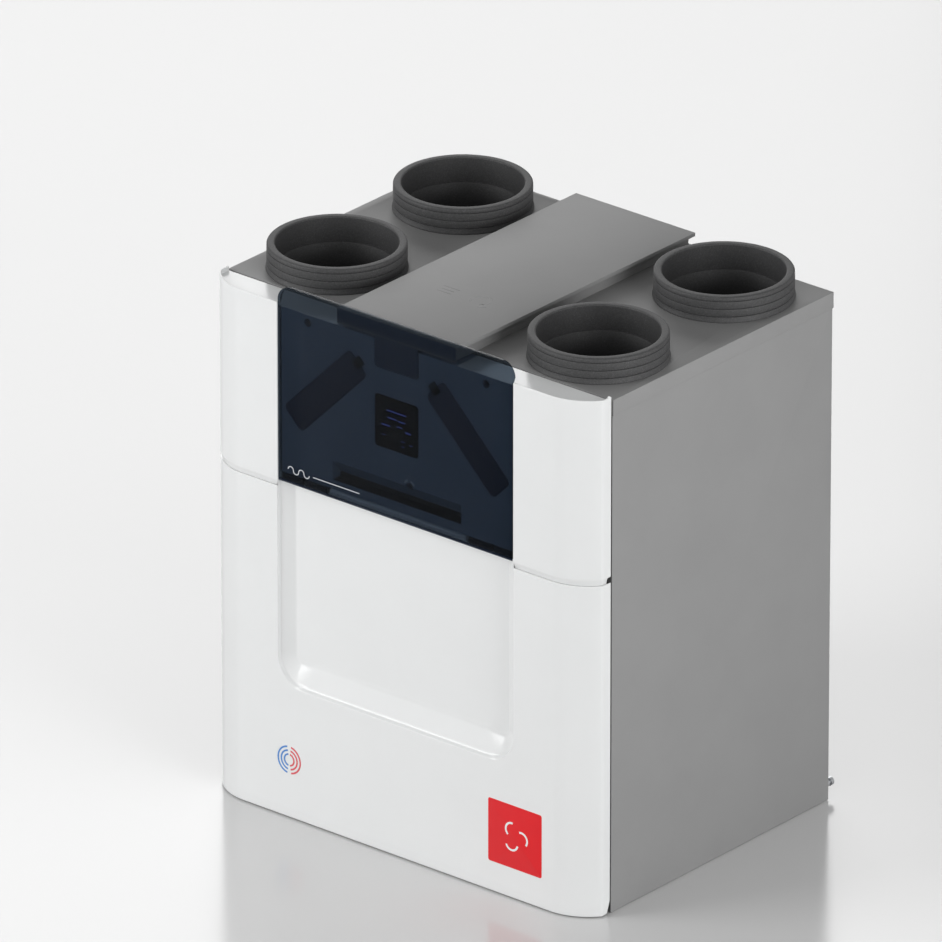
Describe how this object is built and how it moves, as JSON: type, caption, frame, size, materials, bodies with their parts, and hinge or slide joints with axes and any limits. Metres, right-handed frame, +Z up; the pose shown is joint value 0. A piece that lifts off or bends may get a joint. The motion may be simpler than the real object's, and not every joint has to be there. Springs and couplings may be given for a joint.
{
  "type": "heat recovery unit",
  "caption": "Balanced ventilation unit with heat exchanger: rounded white front, folding smoked visor over display and filter drawers, round duct collars on top, grey steel casing.",
  "frame": {"origin": "middle of the bounding box's underside, on the floor", "axes": "+Z up, front faces -Y, +X to the right of a person facing the front from -Y"},
  "size_m": [0.723, 0.569, 0.85],
  "materials": {
    "grey_steel": "satin powder coat, mid grey",
    "side_steel": "satin powder coat, light grey",
    "inner_steel": "galvanised",
    "white_moulding": "fine satin gloss, cool white",
    "fascia_moulding": "matte, light grey",
    "cap_moulding": "matte, blue grey",
    "smoked_acrylic": "smoked navy, glossy",
    "display_glass": "gloss black",
    "dark_plastic": "matte, near black",
    "epp_foam": "bead-moulded foam, speckled dark grey",
    "grey_plastic": "matte, mid grey",
    "black_rubber": "matte",
    "foot_rubber": "matte, grey",
    "zinc_steel": "zinc plated",
    "motor_metal": "die cast",
    "impeller_plastic": "glass-filled, pale grey",
    "exchanger_plate": "thin translucent sheet",
    "exchanger_cap": "matte white",
    "filter_card": "stiffened card frame",
    "filter_fleece": "pleated synthetic fleece",
    "circuit_board": "solder mask green",
    "component_black": "moulded",
    "badge_red": "satin",
    "mark_red": "satin",
    "mark_blue": "satin",
    "mark_white": "satin",
    "terminal_green": "moulded"
  },
  "bodies": {
    "casing": {"base_plate": "inner_steel", "side_panel_left": "side_steel", "side_panel_right": "side_steel", "rear_panel": "side_steel", "top_cover": "grey_steel", "service_cover": "grey_steel", "cover_screws": "zinc_steel", "front_flank_left": "white_moulding", "front_flank_right": "white_moulding", "front_fascia": "fascia_moulding", "lower_front_panel": "white_moulding", "front_gasket": "black_rubber", "hinge_rail": "dark_plastic", "display_module": "dark_plastic", "display_window": "display_glass", "duct_collar_front_left": "epp_foam", "duct_collar_rear_left": "epp_foam", "duct_collar_front_right": "epp_foam", "duct_collar_rear_right": "epp_foam", "epp_base": "epp_foam", "epp_left_wall": "epp_foam", "epp_right_wall": "epp_foam", "epp_front_wall": "epp_foam", "epp_rear_wall": "epp_foam", "epp_top_left": "epp_foam", "epp_top_right": "epp_foam", "exhaust_channel": "epp_foam", "supply_channel": "epp_foam", "heat_exchanger_core": "exchanger_plate", "exchanger_end_caps": "exchanger_cap", "exchanger_seals": "black_rubber", "exhaust_fan_scroll": "grey_plastic", "supply_fan_scroll": "grey_plastic", "exhaust_fan_motor": "motor_metal", "supply_fan_motor": "motor_metal", "bypass_frame": "grey_plastic", "bypass_actuator": "dark_plastic", "condensate_tray": "grey_plastic", "drain_socket": "dark_plastic", "electronics_tray": "inner_steel", "control_board": "circuit_board", "board_components": "component_black", "terminal_blocks": "terminal_green", "cable_glands": "dark_plastic", "wall_rail": "zinc_steel", "wall_spacers": "zinc_steel", "rubber_feet": "foot_rubber"},
    "visor": {"visor": "smoked_acrylic", "visor_pivot_pins": "zinc_steel"},
    "filter_cap_left": {"filter_cap_left": "cap_moulding"},
    "filter_cap_right": {"filter_cap_right": "cap_moulding"},
    "filter_left": {"filter_frame_left": "filter_card", "filter_media_left": "filter_fleece"},
    "filter_right": {"filter_frame_right": "filter_card", "filter_media_right": "filter_fleece"},
    "supply_impeller": {"supply_impeller": "impeller_plastic"},
    "exhaust_impeller": {"exhaust_impeller": "impeller_plastic"},
    "bypass_damper": {"bypass_blade": "inner_steel", "bypass_shaft": "zinc_steel"}
  },
  "joints": [
    {"name": "visor_hinge", "type": "hinge", "parent": "casing", "child": "visor", "pos_m": [0, -0.2824, 0.5375], "axis": [1, 0, 0], "range_deg": [0, 180]},
    {"name": "filter_cap_left_slide", "type": "slide", "parent": "casing", "child": "filter_cap_left", "axis": [0, -1, 0], "range_m": [0, 0.24]},
    {"name": "filter_cap_right_slide", "type": "slide", "parent": "casing", "child": "filter_cap_right", "axis": [0, -1, 0], "range_m": [0, 0.24]},
    {"name": "filter_left_slide", "type": "slide", "parent": "casing", "child": "filter_left", "axis": [0, -1, 0], "range_m": [0, 0.2]},
    {"name": "filter_right_slide", "type": "slide", "parent": "casing", "child": "filter_right", "axis": [0, -1, 0], "range_m": [0, 0.2]},
    {"name": "supply_fan_spin", "type": "hinge", "parent": "casing", "child": "supply_impeller", "pos_m": [0.195, -0.122, 0.205], "axis": [0, 1, 0], "continuous": true},
    {"name": "exhaust_fan_spin", "type": "hinge", "parent": "casing", "child": "exhaust_impeller", "pos_m": [-0.195, 0.161, 0.205], "axis": [0, 1, 0], "continuous": true},
    {"name": "bypass_damper_hinge", "type": "hinge", "parent": "casing", "child": "bypass_damper", "pos_m": [0.26, 0.095, 0.515], "axis": [0, 1, 0], "range_deg": [0, 90]}
  ],
  "couplings": [
    {"joint": "filter_cap_left_slide", "follows": "visor_hinge", "m_per_rad": 0.07499},
    {"joint": "filter_cap_right_slide", "follows": "visor_hinge", "m_per_rad": 0.07499},
    {"joint": "filter_left_slide", "follows": "visor_hinge", "m_per_rad": 0.06201},
    {"joint": "filter_right_slide", "follows": "visor_hinge", "m_per_rad": 0.06201}
  ]
}
